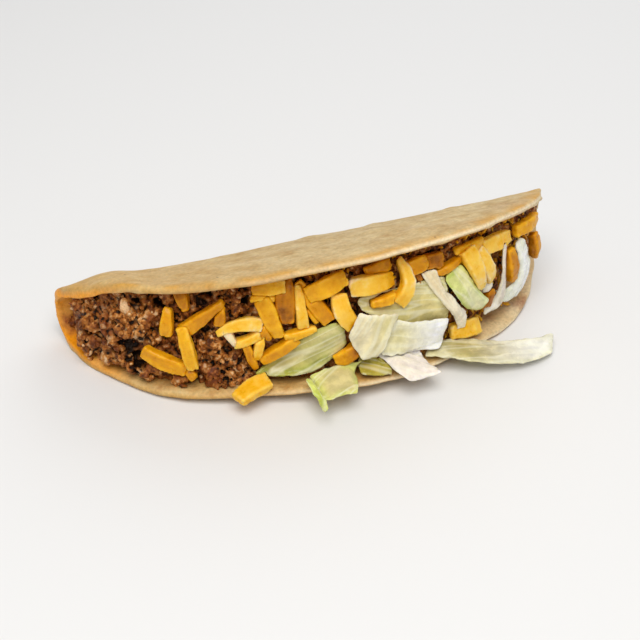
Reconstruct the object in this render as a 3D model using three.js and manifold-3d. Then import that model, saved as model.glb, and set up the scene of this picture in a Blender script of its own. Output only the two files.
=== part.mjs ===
// A crisp corn taco lying on its side, filled with crumbled beef, cut cheddar and iceberg lettuce.
// Millimetres. X runs along the fold, the mouth opens towards -Y, and Z is up from the table.
// The origin is on the flat of the lower half, where the taco rests.

import * as THREE from 'three';
import { mergeVertices } from 'three/addons/utils/BufferGeometryUtils.js';
import Module from 'manifold-3d';

const wasm = await Module();
wasm.setup();

// ---------------------------------------------------------------- driving dimensions

const FOLD_LENGTH = 145; // tip to tip along the fold
const LOWER_REACH = 57; // from the back of the fold to the lower rim, along the tortilla
const UPPER_REACH = 57; // the same for the upper half
const TORTILLA_THICK = 2.5;
const FOLD_RADIUS = 11.6; // at mid length, to the middle of the wall
const FOLD_FLARE = 2.9; // how much the radius grows from the middle to the right-hand tip
const MOUTH_ANGLE = 28.3; // degrees that the upper half rises
const UPPER_SAG = 0.0023; // its bend back towards the table, radians a millimetre
const LOWER_FLAT = 18; // width of the lower half that lies flat on the table
const LOWER_CURL = 60; // radius of the curl from there to the lower rim
const ORIGIN_FROM_FOLD = 21; // from the back of the fold to the origin
const TIP_BLUNT = 0.06; // radians of the oval left off at each tip, which blunts it

// Frying leaves the rims wavy and one blister in the fold.
const LOWER_WAVE = { height: 1.6, length: 60, crest: 5 };
const UPPER_WAVE = { height: 0.7, length: 31, crest: 2.3 };
const BLISTER = { height: 1.5, at: -58, width: 7 };

const CLEARANCE = 0.5; // between the filling and the tortilla
const PIECE_GAP = 0.3; // between pieces that touch
const SLIVER = 0.02; // the finest detail kept where pieces are cut to fit
const FILL_LOWER = 0.85; // how far the filling reaches along the lower half, as a share
const FILL_UPPER = 0.8; // the same for the upper half
const FILL_END = 0.955; // how far it reaches towards each tip
const FILL_BULGE = 3;

const COLOURS = { tortilla: 0xd9b278, beef: 0x7a5138, cheddar: 0xf0a818, lettuce: 0xd6dba4 };
const ROUGHNESS = { tortilla: 0.7, beef: 0.6, cheddar: 0.45, lettuce: 0.4 };

const HALF_LENGTH = FOLD_LENGTH / 2;
const HALF_WALL = TORTILLA_THICK / 2;
const INNER_SIDE = -(HALF_WALL + CLEARANCE);

// ---------------------------------------------------------------- seeded chance

const CHANCE = { multiplier: 1664525, increment: 1013904223, modulus: 2 ** 32 };

function makeChance(seed) {
  let state = seed;
  return function chance() {
    state = (state * CHANCE.multiplier + CHANCE.increment) % CHANCE.modulus;
    return state / CHANCE.modulus;
  };
}

// ---------------------------------------------------------------- solids

function bare(geometry) {
  geometry.deleteAttribute('normal');
  geometry.deleteAttribute('uv');
  return mergeVertices(geometry, 1e-5);
}

// A closed box of cells with every corner moved to place(a, b, c), each from -1 to 1.
function warpedBox(cells, place) {
  const geometry = bare(new THREE.BoxGeometry(2, 2, 2, ...cells));
  const position = geometry.getAttribute('position');
  for (let i = 0; i < position.count; i += 1) {
    const point = place(position.getX(i), position.getY(i), position.getZ(i));
    position.setXYZ(i, point.x, point.y, point.z);
  }
  return geometry;
}

// A closed sheet of cells whose two faces are split alike: c is 1 on one face, -1 on the other.
function sheet([cellsAcross, cellsUp], place) {
  const plane = new THREE.PlaneGeometry(2, 2, cellsAcross, cellsUp);
  const flat = plane.getAttribute('position');
  const faces = plane.getIndex().array;
  const count = flat.count;
  const points = [];
  for (const c of [1, -1]) {
    for (let i = 0; i < count; i += 1) {
      points.push(...place(flat.getX(i), flat.getY(i), c).toArray());
    }
  }
  const index = [];
  for (let i = 0; i < faces.length; i += 3) {
    const [p, q, r] = faces.slice(i, i + 3);
    index.push(p, q, r, count + r, count + q, count + p);
  }
  const corner = (column, row) => row * (cellsAcross + 1) + column;
  const across = [...Array(cellsAcross).keys()];
  const up = [...Array(cellsUp).keys()];
  const rim = [
    ...across.map((i) => corner(i, cellsUp)),
    ...up.map((i) => corner(cellsAcross, cellsUp - i)),
    ...across.map((i) => corner(cellsAcross - i, 0)),
    ...up.map((i) => corner(0, i)),
  ];
  rim.forEach((here, i) => {
    const next = rim[(i + 1) % rim.length];
    index.push(next, here, count + here, next, count + here, count + next);
  });
  const geometry = new THREE.BufferGeometry();
  geometry.setAttribute('position', new THREE.Float32BufferAttribute(points, 3));
  geometry.setIndex(index);
  return geometry;
}

function toSolid(geometry) {
  return new wasm.Manifold(new wasm.Mesh({
    numProp: 3,
    vertProperties: new Float32Array(geometry.getAttribute('position').array),
    triVerts: new Uint32Array(geometry.getIndex().array),
  }));
}

function fromSolid(solid) {
  const mesh = solid.getMesh();
  const geometry = new THREE.BufferGeometry();
  geometry.setAttribute('position', new THREE.BufferAttribute(mesh.vertProperties, 3));
  geometry.setIndex(new THREE.BufferAttribute(mesh.triVerts, 1));
  return geometry;
}

function largestOf(solid) {
  return solid.decompose().sort((one, other) => other.volume() - one.volume())[0];
}

// The mesh of a cut solid: its largest body, with the slivers left by the cuts gone.
function cutGeometry(solid) {
  const smooth = largestOf(solid).simplify(SLIVER);
  return fromSolid(largestOf(toSolid(fromSolid(smooth))));
}

// ---------------------------------------------------------------- the folded tortilla

function foldRadius(x) {
  const blister = BLISTER.height * Math.exp(-(((x - BLISTER.at) / BLISTER.width) ** 2));
  return FOLD_RADIUS + (FOLD_FLARE * x) / HALF_LENGTH + blister;
}

// The rims are the two halves of one wavy oval.
function reach(x, upper) {
  const oval = Math.sqrt(Math.max(1 - (x / HALF_LENGTH) ** 2, 0));
  const wave = upper ? UPPER_WAVE : LOWER_WAVE;
  const swell = wave.height * Math.cos(((x - wave.crest) * Math.PI * 2) / wave.length);
  return oval * ((upper ? UPPER_REACH : LOWER_REACH) + swell);
}

// A section of the lower half: round the fold, flat on the table, then curling up to the rim.
function lowerSection(r, s) {
  const turn = Math.min(s / r, Math.PI / 2);
  const leg = Math.max(s - (r * Math.PI) / 2, 0);
  const curl = Math.max(leg - LOWER_FLAT, 0) / LOWER_CURL;
  const forward = r * (1 - Math.cos(turn)) + Math.min(leg, LOWER_FLAT) + LOWER_CURL * Math.sin(curl);
  const height = r * (1 - Math.sin(turn)) + LOWER_CURL * (1 - Math.cos(curl));
  const tilt = curl > 0 ? curl : turn - Math.PI / 2;
  return { forward, height, outward: [Math.sin(tilt), -Math.cos(tilt)] };
}

// A section of the upper half: round the fold, then rising at the mouth angle and sagging a bit.
function upperSection(r, s) {
  const rise = THREE.MathUtils.degToRad(MOUTH_ANGLE);
  const turn = Math.min(s / r, Math.PI / 2 - rise);
  const leg = Math.max(s - r * (Math.PI / 2 - rise), 0);
  const end = rise - UPPER_SAG * leg;
  const forward = r * (1 - Math.cos(turn)) + (Math.sin(rise) - Math.sin(end)) / UPPER_SAG;
  const height = r * (1 + Math.sin(turn)) + (Math.cos(end) - Math.cos(rise)) / UPPER_SAG;
  const tilt = leg > 0 ? end : Math.PI / 2 - turn;
  return { forward, height, outward: [-Math.sin(tilt), Math.cos(tilt)] };
}

// A point of the tortilla: s runs over the fold, below zero on the lower half and above zero
// on the upper half, and out is the distance from the middle of the wall.
function tortillaPoint(x, s, out) {
  const section = s < 0 ? lowerSection(foldRadius(x), -s) : upperSection(foldRadius(x), s);
  return new THREE.Vector3(
    x,
    ORIGIN_FROM_FOLD - section.forward - out * section.outward[0],
    HALF_WALL + section.height + out * section.outward[1],
  );
}

const SHELL_CELLS = [36, 24];
const ROW_CROWDING = 0.45; // how much closer the rows lie round the fold than at the rims

// Columns also lie closer together towards the tips. The face where c is 1 is the inside.
function tortillaGeometry(grow) {
  return sheet(SHELL_CELLS, (a, b, c) => {
    const angle = TIP_BLUNT + ((a + 1) / 2) * (Math.PI - 2 * TIP_BLUNT);
    const x = -HALF_LENGTH * Math.cos(angle);
    const share = b * (1 - ROW_CROWDING * (1 - Math.abs(b)));
    const point = tortillaPoint(x, share * (reach(x, b > 0) + grow), -c * (HALF_WALL + grow));
    point.x += a * grow;
    return point;
  });
}

// ---------------------------------------------------------------- the bed of filling

const BED_ROUNDING = 9; // of its corners, where it meets the tortilla and passes the rim
const ROUNDING_WEIGHTS = [1, 2, 3, 2, 1]; // of the points on either side that round a corner
const BEYOND_RIM = 30; // how far past the rim the bed comes down to the table
const NORMAL_STEP = 5; // either way, where the lie of the bed is measured

// Corners of the face of the filling in a section at x: its top edge, its foot on the lower
// half of the tortilla, the rim, and the table beyond.
function bedCorners(x) {
  const inside = THREE.MathUtils.clamp(x, -HALF_LENGTH * FILL_END, HALF_LENGTH * FILL_END);
  const shift = new THREE.Vector3(x - inside, 0, 0);
  const top = tortillaPoint(inside, FILL_UPPER * reach(inside, true), INNER_SIDE).add(shift);
  const foot = tortillaPoint(inside, -FILL_LOWER * reach(inside, false), INNER_SIDE).add(shift);
  const rim = tortillaPoint(inside, -reach(inside, false), INNER_SIDE).add(shift);
  const table = new THREE.Vector3(x, rim.y - BEYOND_RIM, CLEARANCE);
  return { top, foot, rim, table };
}

// A point of the bed: d is the distance up its face, below zero out along the tortilla.
function bedLine(x, d) {
  const { top, foot, rim, table } = bedCorners(x);
  if (d >= 0) {
    const along = new THREE.Vector3().subVectors(top, foot);
    const share = d / along.length();
    const bulge = FILL_BULGE * 4 * share * (1 - share);
    const outward = new THREE.Vector3(0, -along.z, along.y).normalize();
    return foot.addScaledVector(along, share).addScaledVector(outward, bulge);
  }
  const ledge = foot.distanceTo(rim);
  if (-d <= ledge) {
    return foot.lerp(rim, -d / ledge);
  }
  return rim.clone().lerp(table, (-d - ledge) / rim.distanceTo(table));
}

// The bed with the corners of that line rounded off, by a weighted mean of points on it.
function bedPoint(x, d) {
  const total = ROUNDING_WEIGHTS.reduce((sum, weight) => sum + weight);
  const middle = (ROUNDING_WEIGHTS.length - 1) / 2;
  const mean = new THREE.Vector3();
  ROUNDING_WEIGHTS.forEach((weight, i) => {
    const offset = BED_ROUNDING * (i / middle - 1);
    mean.addScaledVector(bedLine(x, d + offset), weight / total);
  });
  return mean;
}

function bedNormal(x, d) {
  const along = bedPoint(x + NORMAL_STEP, d).sub(bedPoint(x - NORMAL_STEP, d));
  const up = bedPoint(x, d + NORMAL_STEP).sub(bedPoint(x, d - NORMAL_STEP));
  return along.cross(up).normalize();
}

function raised(x, d, lift) {
  return bedPoint(x, d).addScaledVector(bedNormal(x, d), lift);
}

// ---------------------------------------------------------------- cheddar

const END_TAPER = 0.16; // how much narrower a shred is at its ends
const SHRED = { curve: 0, thick: 2.8, bow: 0.5, roll: 0 }; // what a shred has unless it says so
const SHRED_CELLS = [4, 1, 1];
const PATH_STEP = 0.5; // either way, where a shred's direction is measured
const ORIGIN = new THREE.Vector2();

// A cut shred: its middle at [x, d] on the bed, turned from the fold's direction, with its
// length, its widths at both ends, its thickness, a curve to its left, a bow out of the bed and
// a roll about its own length.
function cheddarGeometry(shred, lift, grow) {
  const { at, turn, length, widths, curve, thick, bow, roll } = { ...SHRED, ...shred };
  const heading = THREE.MathUtils.degToRad(turn);
  const tilt = THREE.MathUtils.degToRad(roll);
  const middle = new THREE.Vector2(...at);
  const arch = (t) => 1 - ((2 * t) / length) ** 2;
  const spot = (t) => new THREE.Vector2(t, curve * arch(t)).rotateAround(ORIGIN, heading).add(middle);
  const pathPoint = (t) => raised(...spot(t), lift + bow * arch(t));
  return warpedBox(SHRED_CELLS, (a, b, c) => {
    const t = (a * length) / 2;
    const taper = 1 - END_TAPER * a * a;
    const along = pathPoint(t + PATH_STEP).sub(pathPoint(t - PATH_STEP)).normalize();
    const across = new THREE.Vector3().crossVectors(bedNormal(...spot(t)), along).normalize();
    const face = new THREE.Vector3().crossVectors(along, across);
    const width = THREE.MathUtils.lerp(...widths, (a + 1) / 2);
    const wide = b * ((width / 2) * taper + grow);
    const deep = c * ((thick / 2) * taper + grow);
    return pathPoint(t)
      .addScaledVector(along, a * grow)
      .addScaledVector(across, wide * Math.cos(tilt) - deep * Math.sin(tilt))
      .addScaledVector(face, wide * Math.sin(tilt) + deep * Math.cos(tilt));
  });
}

// ---------------------------------------------------------------- lettuce

const LEAF_THICK = 0.9;
const LEAF_SWELL = 0.9; // height of the waves in a leaf
const LEAF_WAVES = 0.8; // how many of them run along it
const LEAF_PHASE = 1.7; // radians between the waves of one leaf and of the next
const LEAF_RAGGED = 0.5; // how far its torn edge wanders
const TEARS = { x: [5, 7], d: [8, 5] }; // radians of that wander along the leaf and across it
const SIDE_STEP = 0.01; // either way, where the direction of a leaf is measured

// A torn leaf between two curved sides, each through a few points [x, d] on the bed. Seen from
// its start, the first side is on the right.
function lettuceGeometry({ sides, cells, phase }, lift, grow) {
  const [right, left] = sides.map((side) => {
    return new THREE.SplineCurve(side.map((point) => new THREE.Vector2(...point)));
  });
  const width = right.getPoint(0.5).distanceTo(left.getPoint(0.5));
  return sheet(cells, (a, b, c) => {
    const u = (a + 1) / 2;
    const v = (b + 1) / 2;
    const start = right.getPoint(Math.max(u - SIDE_STEP, 0));
    const onward = right.getPoint(Math.min(u + SIDE_STEP, 1)).sub(start).normalize();
    const spot = right.getPoint(u).lerp(left.getPoint(u), v + (b * grow) / width);
    spot.addScaledVector(onward, a * grow);
    const torn = Math.max(Math.abs(a), Math.abs(b)) === 1 ? LEAF_RAGGED : 0;
    spot.x += torn * Math.sin(TEARS.x[0] * u + TEARS.x[1] * v + phase);
    spot.y += torn * Math.sin(TEARS.d[0] * u + TEARS.d[1] * v + 2 * phase);
    const wave = Math.sin(LEAF_WAVES * 2 * Math.PI * u + phase) * Math.cos(Math.PI * v + phase);
    return raised(spot.x, spot.y, lift + LEAF_SWELL * wave + c * (LEAF_THICK / 2 + grow));
  });
}

// ---------------------------------------------------------------- the toppings

const CHEDDAR = {
  1: { at: [-17, 24], turn: -95, length: 11, widths: [4.6, 5.4] },
  2: { at: [-21, 28], turn: 0, length: 8, widths: [2.6, 4] },
  3: { at: [-9.5, 23], turn: -55, length: 13, widths: [3, 4.6] },
  4: { at: [-21, 20], turn: -70, length: 11, widths: [4.8, 3.2], roll: 8 },
  5: { at: [-13, 22], turn: -87, length: 11, widths: [1.8, 3.2], bow: 1 },
  6: { at: [-6, 27], turn: 20, length: 10, widths: [4.8, 4.6], bow: 1.4 },
  7: { at: [-13.5, 15], turn: 13, length: 8, widths: [2.6, 1.6] },
  8: { at: [-19, 10.5], turn: 32, length: 11, widths: [3, 3] },
  9: { at: [-24.5, 12], turn: -100, length: 7, widths: [2.4, 2] },
  10: { at: [-26.5, 9], turn: -73, length: 9, widths: [2.2, 1.6] },
  11: { at: [-29, 17.5], turn: 10, length: 11, widths: [2, 4], curve: 1.5, roll: -15 },
  12: { at: [-27.5, 14.5], turn: 21, length: 7, widths: [1.8, 2.6] },
  13: { at: [-38, 20.5], turn: 38, length: 14, widths: [4.4, 1.6], roll: 12 },
  14: { at: [-42, 12], turn: -81, length: 12, widths: [3.2, 3.2] },
  15: { at: [-46.5, 19], turn: -100, length: 7, widths: [2, 3.6] },
  16: { at: [-42, 25], turn: -80, length: 5, widths: [4, 2] },
  17: { at: [-48, 7], turn: -27, length: 11, widths: [4, 4] },
  18: { at: [-1, 6.5], turn: 37, length: 8, widths: [4.5, 3.5] },
  19: { at: [20, 25], turn: -60, length: 6, widths: [2.4, 2.4] },
  20: { at: [24, 28], turn: 0, length: 6, widths: [4, 4.4] },
  21: { at: [29, 25.5], turn: 16, length: 9, widths: [2, 1.8] },
  22: { at: [19, 28], turn: 10, length: 6, widths: [3.6, 4] },
  23: { at: [6, 26], turn: 2, length: 11, widths: [5.4, 4.4], thick: 3.6, bow: 1.2 },
  24: { at: [9.5, 21], turn: 5, length: 8, widths: [1.8, 3] },
  25: { at: [13.5, 25], turn: -95, length: 11, widths: [1.8, 4.8], curve: 2, bow: 1.6 },
  26: { at: [45.5, 26], turn: -5, length: 10, widths: [4.6, 4] },
  27: { at: [36.5, 22.5], turn: -70, length: 13, widths: [5.6, 2.6], thick: 3.2, bow: 1 },
  28: { at: [58, 24.5], turn: -8, length: 9, widths: [3.6, 3] },
  29: { at: [51.5, 16.5], turn: -82, length: 10, widths: [3.4, 3] },
  30: { at: [62, 16], turn: -80, length: 8, widths: [3, 2.4] },
  31: { at: [35.5, 1.5], turn: -18, length: 10, widths: [4.2, 5.2] },
  32: { at: [-1.5, 20.5], turn: -70, length: 9, widths: [4.4, 4.8], curve: -1 },
  33: { at: [-27.5, -8], turn: 37, length: 12, widths: [5, 5.5], thick: 2.4 },
  34: { at: [-31.5, 15.5], turn: -65, length: 5, widths: [2.2, 1.2], thick: 2 },
  35: { at: [-33.5, 21.5], turn: -100, length: 5, widths: [1.8, 3], thick: 2.2 },
  36: { at: [-22.5, 25.5], turn: 0, length: 6, widths: [2, 3], thick: 2.2 },
  37: { at: [-23, 16.5], turn: -40, length: 5, widths: [3, 3], thick: 2.2 },
  38: { at: [8, 29.5], turn: 5, length: 7, widths: [2, 3.6], thick: 2.2 },
  39: { at: [41, 21.5], turn: -65, length: 11, widths: [4.4, 3.2], thick: 3.2, bow: 1.2 },
  40: { at: [36, 28.5], turn: -5, length: 9, widths: [1.8, 3.4], thick: 2.2 },
  41: { at: [43, 10], turn: 70, length: 6, widths: [2.6, 2.6], thick: 2.2 },
  42: { at: [-10, 20.5], turn: -60, length: 6, widths: [1.4, 3], thick: 2.2 },
  43: { at: [-42, 2.5], turn: -75, length: 5, widths: [2, 2.6], thick: 2 },
};

const LETTUCE = {
  behind: {
    sides: [[[2, 19], [12, 13], [20, 10], [30, 9]], [[2, 23], [12, 23], [19, 24], [28, 23]]],
    cells: [7, 3],
  },
  under: {
    sides: [[[1, -7], [5, -8], [10, -9]], [[2, 5], [5, 5], [9, 2]]],
    cells: [4, 3],
  },
  rim_right: {
    sides: [[[6, 6], [9.5, -6], [12.5, -14]], [[20, 1], [21, -8], [22.5, -15]]],
    cells: [6, 4],
  },
  long_right: {
    sides: [[[21, -5], [34, -16], [59, -27]], [[24, 3], [39, -7], [62, -22]]],
    cells: [14, 3],
  },
  rib: {
    sides: [[[6.5, 4.5], [14, 0], [25, -6]], [[8, 15.5], [18, 14], [28.5, 11]]],
    cells: [7, 5],
  },
  long_left: {
    sides: [[[-25, 0], [-19, -3.5], [-12, -2], [-1, 9]], [[-25.5, 1.5], [-21, 7], [-9, 16], [-1.5, 18.5]]],
    cells: [10, 4],
  },
  corner: {
    sides: [[[5.5, 3.5], [8.5, 11], [13.5, 16.5]], [[2, 4.5], [-1.5, 13], [1.5, 20.5]]],
    cells: [6, 5],
  },
  rim_left: {
    sides: [[[-11, -15], [-6, -14.5], [-2, -14]], [[-12.5, -5], [-6, 0.5], [3, 3]]],
    cells: [6, 6],
  },
  strand: {
    sides: [[[-13.5, -6.5], [-13.5, -12], [-12.5, -19.5]], [[-11, -5.5], [-11, -12], [-11, -19.5]]],
    cells: [6, 1],
  },
  strip: {
    sides: [[[20, 26.5], [24.5, 18], [30.5, 8], [31.5, 5]], [[25, 26], [27, 20], [34, 11.5], [35, 3.5]]],
    cells: [10, 2],
  },
  green: {
    sides: [[[26.5, 22], [30, 17], [35.5, 10.5], [39, 8]], [[29, 24.5], [33, 25], [38, 17.5], [42, 11]]],
    cells: [7, 3],
  },
  shaving: {
    sides: [[[40.5, 13], [42, 12.5], [44, 12.5]], [[41, 16.5], [42.5, 16.5], [44, 16]]],
    cells: [3, 1],
  },
  curl: {
    sides: [
      [[47.5, 24.5], [47, 17], [45.8, 11], [44.5, 8.5], [41.5, 7.5]],
      [[50.5, 24.5], [49.8, 16], [48.8, 9], [46, 5], [41, 4.5]],
    ],
    cells: [10, 1],
  },
  right_end: {
    sides: [
      [[54, 22], [54.5, 15], [53.5, 11], [50, 10], [47, 10.5]],
      [[56.5, 22], [60, 14], [60.5, 6], [57, 2], [51, 4], [47.5, 7]],
    ],
    cells: [9, 3],
  },
};

// From the bottom of the heap to its top.
const LAYING_ORDER = [
  [37, 35, 36, 42, 1, 2, 3, 4, 5, 6, 7, 8, 10, 9, 12, 11, 34, 43, 13, 14, 15, 16, 17, 18, 19, 20],
  [21, 22, 38, 23], ['behind'], [24, 25, 40, 41, 26, 27, 39, 28, 29, 30],
  ['under', 'rim_right'], [31], ['long_right', 'rib', 'long_left'], [32],
  ['corner', 'rim_left', 'strand', 'strip', 'green', 'shaving', 'curl', 'right_end'], [33],
].flat();

const FIRST_LIFT = 1.2;
const LIFT_STEP = 0.2;
const NEST = { cheddar: 0.8, lettuce: 0.3 }; // how far the skin of a piece sinks into another

// Each piece is laid on the bed and lifted until its middle is clear of what is there already.
// What it still touches gives way, as soft cheese and leaves do, and a gap is left all round.
function layToppings(tortilla) {
  const laid = [];
  for (const key of LAYING_ORDER) {
    const kind = key in LETTUCE ? 'lettuce' : 'cheddar';
    const phase = LEAF_PHASE * laid.length;
    const piece = kind === 'lettuce' ? { ...LETTUCE[key], phase } : CHEDDAR[key];
    const make = kind === 'lettuce' ? lettuceGeometry : cheddarGeometry;
    let lift = FIRST_LIFT;
    let middle = toSolid(make(piece, lift, -NEST[kind]));
    while (laid.some((other) => !middle.intersect(other.middle).isEmpty())) {
      lift += LIFT_STEP;
      middle = toSolid(make(piece, lift, -NEST[kind]));
    }
    const grown = toSolid(make(piece, lift, PIECE_GAP));
    for (const other of laid) {
      other.solid = largestOf(other.solid.subtract(grown));
    }
    const solid = largestOf(toSolid(make(piece, lift, 0)).subtract(tortilla));
    laid.push({ name: `${kind}_${key}`, kind, middle, grown, solid });
  }
  return laid;
}

// ---------------------------------------------------------------- crumbled beef

const CORE_SETBACK = 1.6; // from the bed's face back to the solid core under the crumbs
const CORE_BACK = 0.45; // share of the filled reach where the core leaves the fold
const CORE_CELLS = [22, 3, 4];
const THINNED = { from: 40, to: 64, lower: 0.5 }; // towards the right the beef stops short
const CRUMB_SEED = 41;
const CRUMB_RADIUS = [1.8, 3.2];
const CRUMB_CORNERS = [0.8, 1.25]; // distances of a crumb's corners, as shares of its radius
const CRUMB_SHRINKS = [1, 0.8, 0.6]; // sizes tried until a crumb fits among the other pieces
const CRUMB_SPACING = 3.4;
const CRUMB_STRAY = 3; // how far a crumb may lie from its place in the rows
const CRUMB_START = 1; // from the foot of the beef to the first row
const CRUMB_SMALLNESS = 1.5; // above 1, small crumbs are commoner than large ones
const BARE_BEEF = -17; // to the left of this the beef lies bare
const COVERED_SHARE = 0.1; // share of the crumbs kept where other pieces cover them
const CRUMB_ENDS = [-0.92, 0.88]; // reach of the crumbs towards the tips

// How far the beef reaches along the lower half of the tortilla, as a share.
function lowerFill(x) {
  const thinned = THREE.MathUtils.smoothstep(x, THINNED.from, THINNED.to);
  return THREE.MathUtils.lerp(FILL_LOWER, THINNED.lower, thinned);
}

// A point of the beef's face, which is the bed with its foot moved back where the beef thins.
function beefFace(x, d, lift) {
  const { top, foot } = bedCorners(x);
  const share = d / top.distanceTo(foot);
  const back = tortillaPoint(x, -lowerFill(x) * reach(x, false), INNER_SIDE);
  const bed = tortillaPoint(x, -FILL_LOWER * reach(x, false), INNER_SIDE);
  return raised(x, d, lift).addScaledVector(back.sub(bed), 1 - share);
}

// The packed inside of the filling, which follows the tortilla round from face to face.
function coreGeometry() {
  return warpedBox(CORE_CELLS, (a, b, c) => {
    const x = HALF_LENGTH * FILL_END * Math.sin((a * Math.PI) / 2);
    const filled = b < 0 ? lowerFill(x) * reach(x, false) : FILL_UPPER * reach(x, true);
    if (Math.abs(b) === 1) {
      const share = CORE_BACK + (1 - CORE_BACK) * ((c + 1) / 2);
      return tortillaPoint(x, b * share * filled, INNER_SIDE);
    }
    const { top, foot } = bedCorners(x);
    const back = tortillaPoint(x, b * CORE_BACK * filled, INNER_SIDE);
    const face = beefFace(x, ((b + 1) / 2) * top.distanceTo(foot), -CORE_SETBACK);
    return back.lerp(face, (c + 1) / 2);
  });
}

// A crumb: a chunk with eight corners at uneven distances, turned at random.
function crumbSolid(centre, radius, chance) {
  const geometry = warpedBox([1, 1, 1], (a, b, c) => {
    const corner = new THREE.Vector3(a, b, c).normalize();
    return corner.multiplyScalar(radius * THREE.MathUtils.lerp(...CRUMB_CORNERS, chance()));
  });
  const turn = new THREE.Euler(chance() * Math.PI, chance() * Math.PI, chance() * Math.PI);
  geometry.applyMatrix4(new THREE.Matrix4().makeRotationFromEuler(turn));
  geometry.translate(centre.x, centre.y, centre.z);
  return toSolid(geometry);
}

// Crumbs stand half out of the core: close together where the beef lies bare, and scattered
// where cheese and leaves cover it. A crumb that would cross another piece shrinks until it
// fits, or is left out.
function beefGeometry(tortilla, laid) {
  const chance = makeChance(CRUMB_SEED);
  const [first, last] = CRUMB_ENDS;
  let heap = toSolid(coreGeometry());
  for (let x = HALF_LENGTH * first; x < HALF_LENGTH * last; x += CRUMB_SPACING) {
    const { top, foot } = bedCorners(x);
    const rise = top.distanceTo(foot);
    for (let d = CRUMB_START; d < rise; d += CRUMB_SPACING) {
      const strayed = [x, d].map((place) => place + CRUMB_STRAY * (chance() - 0.5));
      const centre = beefFace(...strayed, chance() - 1);
      const largest = THREE.MathUtils.lerp(...CRUMB_RADIUS, chance() ** CRUMB_SMALLNESS);
      const wanted = x < BARE_BEEF || chance() < COVERED_SHARE;
      const fits = (crumb) => laid.every(({ grown }) => crumb.intersect(grown).isEmpty())
        && (d < rise / 2 || crumb.intersect(tortilla).isEmpty());
      const tries = CRUMB_SHRINKS.map((share) => crumbSolid(centre, largest * share, chance));
      const crumb = tries.find(fits);
      if (wanted && crumb) {
        heap = heap.add(crumb);
      }
    }
  }
  heap = heap.subtract(tortilla);
  for (const { grown } of laid) {
    heap = heap.subtract(grown);
  }
  return cutGeometry(heap);
}

// ---------------------------------------------------------------- the taco

const taco = new THREE.Group();

function addPiece(name, geometry, stuff) {
  const color = COLOURS[stuff];
  const roughness = ROUGHNESS[stuff];
  const material = new THREE.MeshStandardMaterial({ color, roughness, metalness: 0 });
  const mesh = new THREE.Mesh(geometry, material);
  mesh.name = name;
  taco.add(mesh);
}

const grownTortilla = toSolid(tortillaGeometry(PIECE_GAP));
const toppings = layToppings(grownTortilla);

addPiece('tortilla_shell', tortillaGeometry(0), 'tortilla');
addPiece('ground_beef', beefGeometry(grownTortilla, toppings), 'beef');
for (const { name, solid, kind } of toppings) {
  addPiece(name, cutGeometry(solid), kind);
}

export default taco;
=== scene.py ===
import math
import random

import bpy
import numpy
from mathutils import Euler, Matrix, Vector, kdtree, noise
from mathutils.bvhtree import BVHTree


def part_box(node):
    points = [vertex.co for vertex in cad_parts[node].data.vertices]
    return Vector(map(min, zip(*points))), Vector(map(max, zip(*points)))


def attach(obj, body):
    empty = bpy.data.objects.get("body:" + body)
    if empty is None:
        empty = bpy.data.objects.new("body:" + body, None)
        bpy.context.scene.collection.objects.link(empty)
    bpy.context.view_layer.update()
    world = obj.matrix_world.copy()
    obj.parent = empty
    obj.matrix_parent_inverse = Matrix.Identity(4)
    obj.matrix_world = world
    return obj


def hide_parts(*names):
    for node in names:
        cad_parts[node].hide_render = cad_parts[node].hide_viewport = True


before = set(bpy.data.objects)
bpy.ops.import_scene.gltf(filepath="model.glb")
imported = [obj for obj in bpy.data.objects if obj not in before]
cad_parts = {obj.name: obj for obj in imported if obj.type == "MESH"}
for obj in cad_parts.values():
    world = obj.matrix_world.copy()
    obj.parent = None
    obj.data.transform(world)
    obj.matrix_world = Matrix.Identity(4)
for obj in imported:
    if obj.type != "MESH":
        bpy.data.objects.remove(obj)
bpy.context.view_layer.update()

bpy.ops.object.select_all(action="DESELECT")


# ---- The view ----
# The taco lies on its side and is seen from the side that it opens on, from a step away,
# well above the table and a little from the left, with the picture tilted by one degree.

MM = 0.001
CAMERA_PLACE = Vector((-103.6, -319.5, 256.6)) * MM
CAMERA_AIM = Vector((-5.2, -11.4, 15.0)) * MM
CAMERA_ROLL = math.radians(1.16)
CAMERA_LENS = 83.3

bpy.ops.object.camera_add(location=CAMERA_PLACE)
camera = bpy.context.object
camera.data.lens = CAMERA_LENS
toward = (CAMERA_AIM - CAMERA_PLACE).to_track_quat("-Z", "Y")
camera.rotation_euler = (toward.to_matrix() @ Matrix.Rotation(CAMERA_ROLL, 3, "Z")).to_euler()
bpy.context.scene.camera = camera
bpy.context.scene.view_settings.view_transform = "Standard"


# ---- The table and the light ----
# A plain pale table under soft daylight: a wide window above and in front, which lights the filling
# as much as the tortilla, a weaker one behind, and pale walls all round.

TABLE_SIZE = 3.0
TABLE_COLOUR = 0xE4E3E1
ROOM_COLOUR = 0xF6F7FA
ROOM_LIGHT = 0.44
LIGHTS = {
    "window": {"place": (-0.12, -0.34, 0.72), "size": 0.55, "watts": 5.2, "colour": 0xFFFEFC},
    "skylight": {"place": (0.35, 0.45, 0.50), "size": 0.60, "watts": 1.4, "colour": 0xFAFCFF},
}


def linear(colour):
    """An sRGB hex colour as linear red, green and blue, with alpha 1."""
    parts = [(colour >> shift & 255) / 255 for shift in (16, 8, 0)]
    return [part / 12.92 if part <= 0.04045 else ((part + 0.055) / 1.055) ** 2.4
            for part in parts] + [1.0]


def material_of(name):
    """A new node material with its shader, ready for more nodes."""
    material = bpy.data.materials.new(name)
    material.use_nodes = True
    return material, material.node_tree.nodes["Principled BSDF"]


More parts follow.
